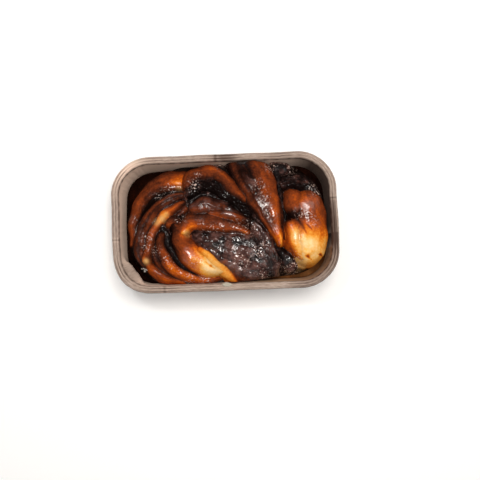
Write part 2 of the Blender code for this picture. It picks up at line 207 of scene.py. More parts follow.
def grid_faces(rows, columns, closed=False):
    """Corner numbers of the quads of a grid whose points are numbered row by row, each row closed or open."""
    here = np.arange(rows - 1)[:, None] * columns
    after = here + columns
    j = np.arange(columns if closed else columns - 1)[None]
    next_j = (j + 1) % columns
    corners = (after + j, after + next_j, here + next_j, here + j)
    return np.stack(corners, -1).reshape(-1, 4)


def add_mesh(name, points, quads, finish, caps=(), values=None):
    """A smooth mesh piece from points in mm, quads, caps of many corners, and values named for each point."""
    data = bpy.data.meshes.new(name)
    corners = np.concatenate([quads.ravel(), *[np.asarray(cap) for cap in caps]]).astype(np.int32)
    totals = np.array([4] * len(quads) + [len(cap) for cap in caps])
    data.vertices.add(len(points))
    data.vertices.foreach_set("co", (points * MM).astype(np.float32).ravel())
    data.loops.add(len(corners))
    data.loops.foreach_set("vertex_index", corners)
    data.polygons.add(len(totals))
    starts = np.concatenate([[0], np.cumsum(totals)[:-1]])
    data.polygons.foreach_set("loop_start", starts.astype(np.int32))
    data.update(calc_edges=True)
    for label, value in (values or {}).items():
        kind = "FLOAT" if value.ndim == 1 else "FLOAT_VECTOR"
        layer = data.attributes.new(label, kind, "POINT")
        layer.data.foreach_set("value" if value.ndim == 1 else "vector", value.astype(np.float32).ravel())
    data.shade_smooth()
    data.materials.append(finish)
    data.validate()
    made = bpy.data.objects.new(name, data)
    bpy.context.scene.collection.objects.link(made)
    return made


def add_tube(name, rings, finish, values=None):
    """A closed mesh piece from rings of points: quads from each ring to the next, and a cap on either end."""
    rows, columns = rings.shape[:2]
    first = np.arange(columns)
    caps = (first, (rows - 1) * columns + first[::-1])
    return add_mesh(name, rings.reshape(-1, 3), grid_faces(rows, columns, True), finish, caps, values)


def greige_paperboard():
    """Matt pressed board: short pale and dark fibres, faint mottling, stains and painted shade, painted
    light, butter.
    """
    made, tree, shader = new_material("greige_paperboard")
    place = add_node(tree, "ShaderNodeTexCoord").outputs["Object"]
    round_case = marked(tree, "round_case", "Vector")
    stretched = add_node(tree, "ShaderNodeMapping", {"Vector": round_case, "Scale": (0.16, 1.1, 1.0)})
    fibre = noise(tree, stretched.outputs["Vector"], 1.6, 4.0, 0.65)
    speck = noise(tree, place, 1500.0, 2.0)
    cloud = noise(tree, place, 70.0, 3.0)
    shades = [(0.28, "#7f6c60"), (0.42, "#a08c7f"), (0.55, "#b4a092"), (0.75, "#c8b6aa")]
    paper = add_ramp(tree, fibre, shades)
    clouded = blended(tree, maths(tree, "MULTIPLY", cloud, 0.4), paper, linear("#94806f"), "MULTIPLY")
    # The pale mark carries painted light on the upper wall inside, as well as paler seam lines and rim.
    pale_and_lit = blended(tree, marked(tree, "pale"), clouded, linear("#f0d2bd"))
    buttered_and_lit = blended(tree, marked(tree, "butter_and_light"), pale_and_lit, linear("#dba878"))
    stained_and_shaded = blended(tree, marked(tree, "stain_and_shade"), buttered_and_lit, linear("#3d271b"))
    connect(tree, shader, {"Base Color": stained_and_shaded, "Roughness": 0.82})
    add_bump(tree, shader, maths(tree, "ADD", fibre, speck), 0.35, 0.0003)
    return made


def case_section():
    """Closed section of points (in from the rim's outside, height): up inside, over the rim, down outside."""
    floor_in = RIM_WIDTH + WALL_DRAFT
    bend = WALL_FOOT - BOARD
    turn = np.radians(np.linspace(0, 90, BEND_POINTS))
    towards_outside = np.column_stack([-np.sin(turn), -np.cos(turn)])
    centre = np.array([floor_in + bend, WALL_FOOT])
    rise = np.linspace(0, 1, INNER_POINTS - BEND_POINTS + 1)[1:-1, None]
    foot, top = np.array([floor_in, WALL_FOOT]), np.array([RIM_WIDTH, WALL_TOP])
    roll = np.radians(np.linspace(180, -90, ROLL_POINTS))
    rolled = np.column_stack([1 - np.cos(roll), np.sin(roll) - 1])
    rim = (0, CASE_HEIGHT) + rolled * (RIM_WIDTH / 2, RIM_DEPTH / 2)
    for place, reach, depth in RIM_GROOVES:
        over = np.sin(roll) > 0
        rim[:, 1] -= over * depth * np.exp(-(((rim[:, 0] - place) / reach) ** 2))
    outer_top, outer_foot = top - (BOARD, 0), foot - (BOARD, 0)
    outside = centre + (bend + BOARD) * towards_outside[::-1]
    return np.vstack(
        [
            centre + bend * towards_outside,
            foot * (1 - rise) + top * rise,
            top,
            rim,
            outer_top,
            outer_top * (1 - rise) + outer_foot * rise,
            outside,
        ]
    )


def case_outline(inset):
    """Closed outline of the case at a distance in from the rim's outside."""
    half_x, half_y = CASE_LENGTH / 2 - inset, CASE_WIDTH / 2 - inset
    return rounded_outline(half_x, half_x, half_y, half_y, [CASE_CORNER_RADIUS - inset] * 4, *OUTLINE_STEPS)


def buckled(outer):
    """How far each place round the case is pushed in: exp(-(distance from BUCKLE_AT / BUCKLE_REACH)^4)."""
    return np.exp(-((np.hypot(*(outer - BUCKLE_AT).T) / BUCKLE_REACH) ** 4))


def case_surface(section, outer, around):
    """The section carried round the case, its wall pleated, warped, and pushed in at the buckle."""
    rings = np.array([np.insert(case_outline(inset)[:-1], 2, height, axis=1) for inset, height in section])
    height = section[:, 1:]
    straight = (CASE_LENGTH / 2 - CASE_CORNER_RADIUS, CASE_WIDTH / 2 - CASE_CORNER_RADIUS)
    cornered = rising((np.abs(outer) - straight).min(axis=1), 0, CORNER_PLEATS)
    outwards = rings[INNER_POINTS - 1, :, :2] - rings[0, :, :2]
    outwards /= np.linalg.norm(outwards, axis=1)[:, None]
    on_wall = rising(height, 4, 6) * rising(height, CASE_HEIGHT - 1, -5)
    pressed = ripple(around, 0.1 * distance_along(section)[:, None], PLEAT_PITCH, 14)
    pleats = PLEAT_DEPTH * pressed * (0.35 + 0.65 * cornered)
    warp = WARP_DEPTH * ripple(around / 4, 0 * around, 9, 11)
    shift = on_wall * pleats + warp * rising(height, 0, CASE_HEIGHT)
    shift = np.clip(shift - 0.25, -MOST_PUSHED_IN, 0)
    over_buckle = rising(height, WALL_TOP, -BUCKLE_RISE)
    up_buckle = over_buckle**2 * (3 - 2 * over_buckle) * rising(height, BUCKLE_FOOT, BUCKLE_FOOT_RISE)
    shift = shift - BUCKLE_DEPTH * up_buckle * buckled(outer)
    rings[..., :2] += shift[..., None] * outwards
    rings[..., 2] -= np.clip(0.18 + 0.12 * ripple(around / 3, 0 * around, 5, 12), 0, 0.5) * (height > 40)
    return rings


def case_marks(section, outer, around):
    """How stained and shaded, pale and lit, and buttered the board is, from 0 to 1, and the way its fibres
    run.

    Painted shade darkens the board low down inside, in the rim's grooves, along the rim's edges, on the right
    end of the rim and on the far right wall. Stains brown the rim's seams, its near right and far side, and
    the near right wall. Painted light makes the upper wall inside paler, the far left of the rim is paler
    too, and butter browns the near right wall, which is painted lighter there as painted light.
    """
    x, y = outer.T
    inset, height = section[:, :1], section[:, 1:]
    inside = np.arange(len(section))[:, None] < INNER_POINTS
    on_roll = height > CASE_HEIGHT - RIM_DEPTH / 2
    # Painted shade: the inside wall darkens towards the bottom.
    stain_and_shade = 0.75 * inside * rising(height, 24, -14) * (0.75 + 0.2 * ripple(around / 3, 0 * around, 7, 13))
    # Painted shade along the rim's two grooves.
    for place, reach, _ in RIM_GROOVES:
        line = on_roll * np.exp(-(((inset - place) / reach / 1.5) ** 2))
        stain_and_shade = stain_and_shade + line * np.clip(0.45 + 0.25 * ripple(around / 5, 0 * around, 6, 15), 0, 1)
    # Painted shade under the rim's outer edge and in the crease where the rim meets the wall.
    edge_shade = 0.55 * np.exp(-((inset / 0.55) ** 2)) + 0.6 * np.exp(-(((inset - RIM_WIDTH) / 0.4) ** 2))
    edge_shade = edge_shade * (height > WALL_TOP - 1)
    stain_and_shade = stain_and_shade + edge_shade * np.clip(0.7 + 0.3 * ripple(around, 0 * around, 5, 16), 0, 1)
    # Painted light: the upper wall inside is paler, less so at the buckle.
    pale = inside * rising(height, 12, 16) * (0.9 - 0.8 * buckled(outer))
    for seam_at in RIM_SEAMS:
        away = around - around[np.argmin(np.hypot(*(outer - seam_at).T))]
        stain_and_shade = stain_and_shade + 0.4 * on_roll * np.exp(-((away / 0.45) ** 2))
        pale = pale + 0.25 * on_roll * np.exp(-(((np.abs(away) - 1.2) / 0.5) ** 2))
    # Painted shade: shaded_end darkens the right end of the rim, far_right the far right wall.
    shaded_end = rising(x, 70, 8) * np.exp(-(((y + 3) / 18) ** 4))
    near_right = rising(x, 35, 30) * (y < -10)
    far_right = rising(x, 45, 20) * rising(y, -20, 15)
    brown_spot = np.exp(-((np.hypot(x - 2, y - 48) / 9) ** 2))
    brown_stretch = (y > 30) * np.clip(1 - np.abs(x - 40) / 25, 0, 1)
    # The far left of the rim is paler.
    pale_stretch = np.exp(-((np.hypot(x + 68, y - 40) / 15) ** 2))
    rim_stain_and_shade = 0.4 * near_right + 0.6 * brown_spot + 0.25 * brown_stretch + 0.8 * (inset > 1.5) * shaded_end
    wall_stain_and_shade = 0.95 * far_right + 0.5 * near_right + 0.15 * buckled(outer)
    stain_and_shade = stain_and_shade + on_roll * rim_stain_and_shade + inside * wall_stain_and_shade
    pale = pale + 0.75 * on_roll * pale_stretch
    # Butter browns the near right wall, and its colour there is lighter as painted light where the wall is
    # lit.
    butter_and_light = 0.8 * inside * rising(x, 5, 25) * (y < -20)
    run = distance_along(section)[:, None]
    fibres = [np.where(on_roll, around, run), np.where(on_roll, run, around), np.zeros(stain_and_shade.shape)]
    return {
        "round_case": np.stack(fibres, -1).reshape(-1, 3),
        "stain_and_shade": np.clip(stain_and_shade, 0, 1).ravel(),
        "pale": np.clip(pale, 0, 1).ravel(),
        "butter_and_light": butter_and_light.ravel(),
    }


section, rim_line = case_section(), case_outline(0)
around = distance_along(rim_line)[:-1]
surface = case_surface(section, rim_line[:-1], around)
marks = case_marks(section, rim_line[:-1], around)
case = add_tube("paper_case_pressed", surface, greige_paperboard(), marks)
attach(case, "root")
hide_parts("paper_case")

# Loaf
# Strands of dough lie over one another as they were twisted. Outer skins bake orange to dark brown, thin
# leaves and risen folds stay golden, and the cut faces show dark filling layers. Sugar syrup glazes it all.
LOAF_GAP = 0.3
LOAF_LEFT = 69.0
LOAF_RIGHT = 71.2
LOAF_FAR = 42.0
LOAF_NEAR = 42.0
LOAF_CORNERS = {"near_right": 27.0, "far_right": 36.0, "far_left": 45.0, "near_left": 31.0}
NEAR_DRAWN_IN = 0.085
NEAR_DRAWN_FROM = 5.0
NEAR_DRAWN_RUN = 45.0
CORNER_FILL = 0.85
FILLED_TO = 31.0
BASE_ROUNDING = 2.5
DOME_EDGE = 47.0
DOME_CREST = 60.0
DOME_RISE = 34.0
GROOVE_FLOOR = 12.0
STRAND_ROUND = 0.93
STRAND_FLANK = 3.5
STRAND_BLEND = 1.0
GRID_PITCH = 0.44
GRID_CORNER_STEPS = 32
GRID_SHARE_ALONG = 0.83
GRID_SHARE_OVER = 0.86
CREASE_REACH = 1.1
LOW_FROM = 8.0
LOW_RUN = 4.0
SPLIT_DEPTH = 0.6
SPLIT_BROWNING = 0.22
CHANNEL_SINK = 1.1
TOP_MARGIN = 0.8
NOISE_GAP = 37.0
GLAZE_IOR = 1.9

Strand = namedtuple("Strand", "lift crown route creases skin tone", defaults=[(), (), ()])
# lift, crown, route and creases: the strand's form, as in the solids.
# skin: (place across from -1 to 1, browning from 0 golden to 1 black-brown, share of filling) over its width.
# tone: (share of the way along, change of browning) along the strand.
# Browning that rises towards many strands' edges is partly baked colour, partly painted shade beside the
# grooves.
DARK = ((-1, 0.9, 1.0), (1, 0.9, 1.0))
STRANDS = {
    "left_crust": Strand(
        -7.0, 6.5,
        [(-66.4, -13, 1.6), (-66.4, -6, 3.2), (-65.6, 2.6, 4.6), (-63, 12, 6), (-57.8, 22.2, 7.2),
         (-49, 29, 8), (-39.4, 30.8, 7.8), (-30, 30.6, 7.9)],
        [(0.6, 0.09, 0.7)],
        skin=[(-1, 0.84, 0), (-0.4, 0.72, 0), (0.2, 0.64, 0), (0.7, 0.74, 0.1), (1, 0.84, 0.5)],
        tone=[(0, 0.04), (0.5, 0.04), (0.7, 0.14), (0.84, 0.04), (0.93, -0.09), (1, -0.12)],
    ),
    "left_cut_face": Strand(
        -6.0, 5.0,
        [(-29, 19.4, 2.6), (-39, 16.6, 3.6), (-47.6, 10.2, 4.4), (-54.2, 1.6, 4.8), (-58.6, -8, 4.8),
         (-60.4, -18, 4.6), (-57.4, -27, 3)],
        [(0.15, 0.14, 0.6), (-0.55, 0.12, 0.4)],
        skin=[(-1, 0.96, 0.6), (-0.5, 0.8, 0.15), (0.1, 0.9, 0.4), (0.5, 0.76, 0.15), (1, 0.96, 0.6)],
    ),
    "left_inner_leaf": Strand(
        -4.5, 4.5,
        [(-28, 14, 1.8), (-34.5, 11.2, 2.6), (-41, 6.4, 3.1), (-47, -0.5, 3), (-51.4, -9, 3.1),
         (-54, -17, 3), (-55.8, -25, 2.6)],
        [(0.4, 0.16, 0.3)],
        skin=[(-1, 0.75, 0.2), (0, 0.56, 0), (0.5, 0.6, 0), (1, 0.75, 0.4)],
        tone=[(0, 0.15), (0.2, -0.02), (0.28, -0.2), (0.42, -0.16), (0.5, 0.06), (0.85, 0.1), (0.93, 0.1),
              (1, -0.1)],
    ),
    "left_bridge": Strand(
        -7.5, 5.0, [(-27.2, 23, 1.6), (-25.2, 17, 2), (-26.6, 10, 2.4), (-36, 3, 2.6)],
        skin=[(-1, 0.9, 0.5), (0, 0.75, 0.2), (1, 0.9, 0.6)],
    ),
    "near_dark_fold": Strand(
        -9.0, 6.0,
        [(-48.5, -7, 2.4), (-50.3, -14, 2.8), (-49.6, -22, 3), (-46.2, -29, 3.2), (-40.8, -34.8, 3.2),
         (-34, -38.6, 2.8)],
        [(0.0, 0.15, 0.5)],
        skin=[(-1, 0.95, 0.6), (0, 0.82, 0.2), (1, 0.95, 0.6)],
    ),
    "near_outer_fold": Strand(
        -6.0, 6.0,
        [(-54.6, -28, 3), (-51.4, -32.4, 3.8), (-46.4, -36.6, 3.9), (-39.5, -39.8, 3.2), (-31, -41.2, 2.4)],
        skin=[(-1, 0.78, 0.2), (0, 0.58, 0), (1, 0.7, 0.2)],
    ),
    "near_ridge": Strand(
        -5.0, 6.0,
        [(-44.4, -8, 3.4), (-45.2, -15, 4), (-43.2, -22.5, 4.2), (-38.4, -30, 4.4), (-31, -35.8, 4.2),
         (-22, -39.4, 3.6), (-12, -40.8, 2.8), (-4.5, -39.6, 2)],
        [(0.45, 0.14, 0.3)],
        skin=[(-1, 0.74, 0.1), (-0.3, 0.6, 0), (0.2, 0.62, 0), (0.6, 0.72, 0.1), (1, 0.95, 0.6)],
        tone=[(0, 0.22), (0.2, 0.06), (0.4, -0.04), (0.8, -0.04), (1, 0.05)],
    ),
    "centre_flap": Strand(
        -4.0, 6.0, [(-38.5, -0.5, 3), (-35.5, 1, 4.2), (-31, -1.5, 4.4), (-28, -6, 3.6)],
        skin=[(-1, 0.85, 0.3), (0, 0.75, 0.1), (1, 0.7, 0.2)],
    ),
    "centre_crust": Strand(
        0.5, 10.0,
        [(-33.2, -4, 4.2), (-31.4, -10.5, 5.4), (-28.4, -17, 7), (-22.8, -23.8, 9), (-15.4, -28.4, 8.8),
         (-8.4, -31.8, 6.2), (-3.4, -34.4, 3)],
        skin=[(-1, 0.5, 0), (-0.5, 0.44, 0), (0.1, 0.5, 0), (0.5, 0.54, 0), (0.8, 0.62, 0), (1, 0.8, 0)],
        tone=[(0, 0.34), (0.15, 0.22), (0.3, 0.22), (0.44, 0.06), (0.62, -0.12), (0.78, -0.32), (1, -0.38)],
    ),
    "centre_leaf": Strand(
        0.3, 5.0,
        [(-17.5, -19, 2.4), (-13.6, -23, 3.6), (-8.8, -27.6, 4.2), (-3, -33.2, 3.9), (1.8, -38, 3),
         (5.6, -41.6, 1.8)],
        skin=[(-1, 0.5, 0), (-0.6, 0.32, 0), (0, 0.26, 0), (0.6, 0.3, 0), (1, 0.42, 0)],
        tone=[(0, 0.16), (0.2, 0.06), (0.4, 0.0), (0.7, 0.0), (0.85, 0.08), (1, 0.22)],
    ),
    "centre_lip": Strand(
        2.0, 6.5,
        [(-28, -5, 3.8), (-22.5, -0.8, 5.4), (-13, -0.8, 5.9), (-3, -2.6, 5), (6, -5, 3.5),
         (14.5, -8.4, 1.4)],
        skin=[(-1, 0.82, 0.3), (-0.5, 0.76, 0.1), (0, 0.72, 0), (0.5, 0.62, 0), (1, 0.76, 0.3)],
        tone=[(0, -0.12), (0.15, 0.05), (0.8, 0.02), (1, -0.06)],
    ),
    "centre_cut_face": Strand(
        1.0, 9.0,
        [(-19, -10.5, 4.8), (-9, -14.5, 9.5), (2, -20.5, 13.5), (12, -25, 16), (20.5, -30.5, 13),
         (26, -35.5, 8)],
        [(0.45, 0.05, 0.8), (0.0, 0.05, 0.6), (-0.45, 0.05, 0.7)],
        skin=[(-1, 0.95, 1), (0.6, 0.88, 1), (0.8, 0.8, 0.55), (0.92, 0.72, 0.35), (1, 0.76, 0.3)],
    ),
    "cut_face_shoulder": Strand(
        -0.5, 6.0, [(19.5, -3.5, 3.2), (25.2, -11, 4.2), (29.3, -21, 5), (31, -31, 5.5), (30.5, -36.5, 4.5)],
        [(0.1, 0.12, 0.6)],
        skin=DARK,
    ),
    "arch_lump": Strand(
        -1.0, 8.0, [(-20.5, 9.5, 4.4), (-13.5, 11.2, 6.2), (-5, 9.6, 6), (4, 6, 4.8), (18, -2.5, 3.4)],
        skin=[(-1, 0.9, 0.6), (-0.3, 0.82, 0.4), (0.3, 0.78, 0.3), (1, 0.8, 0.5)],
        tone=[(0, 0), (0.5, 0), (1, 0.2)],
    ),
    "arch_lip": Strand(
        0.5, 5.0, [(-9, 5.6, 2.4), (-2, 4.6, 2.8), (6, 3.2, 2.8), (16, -1.4, 2.4)],
        skin=[(-1, 0.75, 0.3), (0, 0.68, 0.1), (1, 0.6, 0.1)],
        tone=[(0, 0.05), (0.6, 0.0), (1, 0.3)],
    ),
    "arch_crust": Strand(
        0.5, 9.0,
        [(-25.5, 26, 3.2), (-22, 31.5, 5), (-15, 34.2, 5.8), (-7.5, 34.2, 6), (-1.5, 30.4, 5.4),
         (4, 24, 4.6), (9, 18.5, 3.4), (13.5, 13.5, 2)],
        skin=[(-1, 0.74, 0), (-0.3, 0.7, 0), (0.3, 0.8, 0.1), (0.75, 0.88, 0.4), (1, 0.95, 0.9)],
    ),
    "arch_cut_face": Strand(
        -2.0, 6.0,
        [(-22.5, 20.5, 3.4), (-16.5, 26, 5), (-7.5, 25.6, 5.2), (0.5, 19.5, 4.6), (8.5, 12.6, 4),
         (16, 5.6, 3.4)],
        [(0.2, 0.15, 0.7)],
        skin=[(-1, 1.0, 1), (-0.4, 1.1, 1), (1, 1.2, 1)],
    ),
    "diagonal": Strand(
        2.5, 10.0,
        [(16.2, 42, 12.8), (20.2, 32, 13.5), (25, 19.5, 11.8), (29.6, 6.5, 8.6), (33.6, -6, 5.1),
         (37, -16.8, 1.8)],
        [(0.05, 0.3, 1.2), (0.62, 0.08, 0.9)],
        skin=[(-1, 0.72, 0), (-0.7, 0.62, 0), (-0.35, 0.64, 0), (-0.1, 0.74, 0.25), (0.1, 0.84, 0.6),
              (0.4, 0.86, 0.55), (0.6, 0.82, 0.25), (0.8, 0.72, 0.0), (1, 0.92, 0.3)],
        tone=[(0, 0.1), (0.3, 0.04), (0.8, -0.04), (1, -0.22)],
    ),
    "diagonal_edge": Strand(
        -3.5, 5.0, [(37.2, 13, 2), (38.2, 3, 2.2), (38.6, -7, 1.8), (38.8, -13, 1.2)],
        skin=[(-1, 0.9, 0.3), (0, 0.82, 0.1), (1, 0.95, 0.5)],
    ),
    "right_lobe": Strand(
        4.0, 12.0,
        [(57.8, 8.4, 10.8), (59, 2.4, 11.9), (59.4, -7, 12.3), (58.6, -16, 12.8), (57, -22.8, 9.8)],
        skin=[(-1, 0.6, 0), (-0.6, 0.53, 0), (0, 0.48, 0), (0.5, 0.46, 0), (1, 0.48, 0)],
        tone=[(0, 0.14), (0.3, 0.08), (0.5, 0.02), (0.68, -0.14), (0.85, -0.27), (1, -0.23)],
    ),
    "right_knob": Strand(
        2.4, 7.0, [(48, 13.2, 5.8), (48.8, 10, 7.2), (49.4, 5.6, 6.2)],
        skin=[(-1, 0.68, 0), (0, 0.62, 0), (1, 0.7, 0)],
    ),
    "right_fold": Strand(
        2.2, 7.0, [(46, -4.8, 3.8), (47, -10, 5.2), (47.8, -16.5, 5.4), (50, -22.5, 4), (52.4, -27, 2.4)],
        skin=[(-1, 0.3, 0), (-0.3, 0.24, 0), (0.3, 0.34, 0), (0.8, 0.5, 0), (1, 0.6, 0)],
        tone=[(0, 0.14), (0.2, 0), (1, -0.04)],
    ),
    "right_under_dough": Strand(
        -8.0, 6.0, [(47.5, -29, 4.2), (53.5, -32.4, 3.4)],
        skin=[(-1, 0.4, 0), (0, 0.3, 0), (1, 0.3, 0)],
    ),
    "far_right_cut_face": Strand(
        -3.5, 9.0, [(41.5, 25.5, 6), (50, 26.6, 6.6), (58.8, 23.8, 6.4), (65.3, 16.5, 4.2)],
        [(0.35, 0.1, 0.8), (-0.15, 0.1, 0.8)],
        skin=[(-1, 1.02, 0.8), (1, 1.02, 0.8)],
    ),
}
FILLINGS = {
    "filling_left": Strand(
        -7.0, 3.5,
        [(-44, -2, 2.2), (-41, -8.5, 3), (-38.8, -15.5, 3), (-35.2, -23.5, 2.8), (-29.2, -31, 2.4),
         (-21.6, -36, 2)],
        skin=DARK,
    ),
    "filling_arch": Strand(
        -6.0, 5.0, [(-24, 13, 3.4), (-20.5, 17.2, 3.2), (-13, 19, 3), (-5, 17, 3), (8, 8.8, 2.4)],
        skin=DARK,
    ),
    "filling_centre": Strand(
        -5.5, 6.0,
        [(-3.4, 46, 3.6), (-1.6, 38.5, 3), (5, 29, 2.4), (10.8, 19, 2.4), (16.6, 9.5, 2.8), (22.6, 0.5, 2.6),
         (28.6, -8.6, 2.4), (33.6, -16.6, 3.2), (38.4, -24, 4.4), (43.6, -30.4, 6)],
        skin=DARK,
    ),
    "filling_right": Strand(
        -5.0, 6.0,
        [(41, 47, 9), (40, 39.5, 7.8), (37.4, 31.5, 3.8), (38, 24, 2.6), (39.2, 16, 2.2), (40.6, 6.5, 2),
         (41.6, -2, 1.6)],
        skin=DARK,
    ),
}
# Spots that differ from their strand: place, radius, change of browning, change of filling.
SPOTS = (
    (-31, 30, 6, -0.05, 0), (-41, 5, 5, -0.02, 0), (-26, -8.2, 3, -0.25, 0), (-8, 37, 5, -0.1, 0),
    (57, -19, 6, -0.1, 0), (50, 2, 4.5, 0.3, 0.35), (45, 2, 3, 0.35, 0.3), (57, 1, 4, 0.12, 0.15),
    (55.5, -26.3, 1.3, 0.4, 0), (64.7, -25.4, 1.2, 0.35, 0), (46, -4, 3, 0.12, 0),
    (-10.5, -30.2, 1.0, 0.3, 0), (34.5, -11, 5, -0.15, -0.8), (35, 1, 3, 0.1, 0.1),
    (16, 38, 8, 0.06, -0.25), (63, -26, 6, -0.12, 0), (-12.5, -32.4, 6, -0.1, 0), (5, 11, 3.4, 0.3, 0.6),
    (-2, 8, 3, 0.12, 0), (-21, -15, 4, 0.12, 0), (-22, -4, 5, -0.12, 0), (15, -9, 4, -0.2, -0.4),
    (9, -26, 6, -0.2, -0.1), (-50, -29, 4, -0.14, -0.2), (-38, -34, 5, -0.1, 0), (-26, -37, 5, -0.12, 0),
    (-32, 3, 3.5, 0.2, 0), (-1, -27.5, 2.6, -0.25, -0.5), (-18, 33, 6, 0.1, 0), (58, -4, 3, -0.08, 0),
)

# Splits in the skin: points (x, y, half width) along each.
SPLITS = (
    [(48.8, 0, 0.5), (51, -3.6, 0.8), (53, -7, 0.8), (55, -10.8, 0.4)],
    [(54.4, -4.4, 0.3), (56.6, -6.6, 0.6), (59, -9.2, 0.3)],
    [(54, -25.6, 0.3), (56.6, -27.2, 0.6), (58.2, -29, 0.3)],
    [(62.4, -25.6, 0.3), (65.2, -26.4, 0.6), (66.6, -28.6, 0.5)],
    [(-13.4, -28.2, 0.3), (-10.8, -30.4, 0.6), (-7.8, -32.2, 0.3)],
)

# Where syrup lies smooth and shines most: place, reach, amount.
POOLS = (
    (58.6, 9.6, 4.8, 0.75), (61, -5, 4, 0.15), (49, -14, 4, 0.45), (46.5, -7, 3, 0.2), (-25, -24, 4.6, 1.0),
    (-21.5, -27, 4, 0.8), (-19.5, -29.5, 4, 0.9), (-26.2, -8, 2, 1.0), (-36, 24.6, 3, 0.5),
    (-31.4, 26, 2.4, 0.6), (-65, 5, 3, 0.5), (3.4, 4, 4, 1.0), (-12, 10, 5, 0.3), (36, -8, 3, 0.3),
    (-48, -33, 3, 0.3), (64, 19, 3, 0.3), (-49, -5, 3, 0.3),
)

# Where the glaze boiled and set as small bubbles that glint, with pale specks painted on the crust there as
# painted highlights: place, reach, amount.
BUBBLED = (
    (-21.5, -26.5, 3.4, 0.6), (57.5, 1, 4.5, 0.4), (60.5, -4, 3.5, 0.3), (51, 2.5, 3.5, 0.5),
    (24, 22, 5, 0.4), (28, 14, 4, 0.35), (31, 4, 4, 0.5), (23, 24, 4, 0.3), (33, 1, 4, 0.2),
    (35, -7, 3, 0.2), (-38, 24.6, 4, 0.7), (-44, 20, 4, 0.4), (-53.4, -9, 3, 0.7), (-54.8, -16, 3, 0.7),
    (-41, -24, 3, 0.7), (-37, -29, 3.4, 0.7), (-32, -32.4, 3, 0.35), (-26, -38.4, 4, 0.7),
    (-15, -41, 5, 0.9), (-48, -18, 4, 0.4), (-21, 25, 4, 0.9), (-9, -4.8, 3, 0.6), (-3, -5.4, 3, 0.5),
    (7, -6, 3, 0.4), (-16, -3.6, 3, 0.4), (8, -2.5, 4, 0.5), (10, -27, 6, 0.9), (16, -6.5, 5, 0.8),
    (22, -22, 4, 0.7), (26, -17, 4, 0.5), (-17, 31, 3, 0.4), (-2, 40, 4, 0.8), (44, -31, 7, 1.0),
    (25, -38, 4, 1.0), (35, 39, 6, 1.0), (46, 37, 6, 0.8), (64, 20, 5, 0.8), (-30, 3, 4, 0.5),
)

# Where the filling baked matt and black: place, reach, amount.
DULL = (
    (-13, 26, 8, 1.0), (-4, 21, 7, 1.0), (5, 13, 6, 1.0), (13, 6, 5, 0.9), (-22, 17, 5, 0.8),
    (-18, -9, 6, 1.0), (-8, -10, 5, 0.8), (17, 31, 7, 0.7), (24, 18, 6, 0.8), (-50, 10, 7, 0.8),
    (40, 30, 7, 0.9), (53, 27, 10, 0.9), (-40, -10, 5, 1.0), (-38, -18, 5, 1.0), (-34, -26, 5, 1.0),
    (41, 0, 3, 1.0),
)

# Where the dough stayed pale: place, reach, amount.
PALE_DOUGH = (
    (-43, 3.4, 2.6, 1.1), (-40, 6.2, 2, 0.7), (-46.5, 1.2, 2.6, 0.8), (-55.5, -25.4, 2.2, 1.2),
    (-25.8, -8.2, 2.2, 0.8), (50, -33, 5, 1.0), (-31.2, 24.8, 2.2, 0.6), (48.6, -11, 5, 0.3),
    (-6, -29.6, 4, 0.3), (0, -35, 4, 0.2),
)


def route_samples(route, steps):
    """The route as a smooth curve: each span a cubic whose end slopes are half its neighbours' chord."""
    points = np.array(route, float)
    points = np.vstack([2 * points[0] - points[1], points, 2 * points[-1] - points[-2]])
    t = np.linspace(0, 1, steps, endpoint=False)[:, None]
    spans = []
    for before, start, end, after in zip(points, points[1:], points[2:], points[3:]):
        spans.append(
            start
            + 0.5 * (end - before) * t
            + 0.5 * (2 * before - 5 * start + 4 * end - after) * t**2
            + 0.5 * (3 * start - before - 3 * end + after) * t**3
        )
    return np.vstack(spans + [points[-2:-1]])


def across(x, y, route):
    """Signed share of the way from centreline to edge, half width there, way along, and route's length."""
    samples = route_samples(route, 8)
    nearest, side, half_width, along = np.full(x.shape, np.inf), *np.zeros((3, *x.shape))
    run = 0.0
    for start, end in zip(samples, samples[1:]):
        step = end - start
        length = np.hypot(step[0], step[1])
        rx, ry = x - start[0], y - start[1]
        t = np.clip((rx * step[0] + ry * step[1]) / length**2, 0, 1)
        width = start[2] + t * step[2]
        share = np.hypot(rx - t * step[0], ry - t * step[1]) / width
        closer = share < nearest
        nearest = np.where(closer, share, nearest)
        side = np.where(closer, np.sign(step[1] * rx - step[0] * ry), side)
        half_width = np.where(closer, width, half_width)
        along = np.where(closer, run + t * length, along)
        run += length
    return nearest * side, half_width, along, run


def near_side(x, y):
    """Share that the near half keeps of its width, which draws in from NEAR_DRAWN_FROM towards the right."""
    share = rising(x, NEAR_DRAWN_FROM, NEAR_DRAWN_RUN)
    return 1 - np.where(y < 0, NEAR_DRAWN_IN * share**2 * (3 - 2 * share), 0)


def depth_inside(x, y):
    """Distance in from the loaf's outline seen from above, a rectangle with four unlike round corners."""
    y = y / near_side(x, y)
    middle_x, middle_y = (LOAF_RIGHT - LOAF_LEFT) / 2, (LOAF_FAR - LOAF_NEAR) / 2
    half_x, half_y = (LOAF_RIGHT + LOAF_LEFT) / 2, (LOAF_FAR + LOAF_NEAR) / 2
    right, far = x > middle_x, y > middle_y
    radius = np.where(
        far,
        np.where(right, LOAF_CORNERS["far_right"], LOAF_CORNERS["far_left"]),
        np.where(right, LOAF_CORNERS["near_right"], LOAF_CORNERS["near_left"]),
    )
    qx = np.abs(x - middle_x) - half_x + radius
    qy = np.abs(y - middle_y) - half_y + radius
    return radius - np.hypot(np.maximum(qx, 0), np.maximum(qy, 0)) - np.minimum(np.maximum(qx, qy), 0)


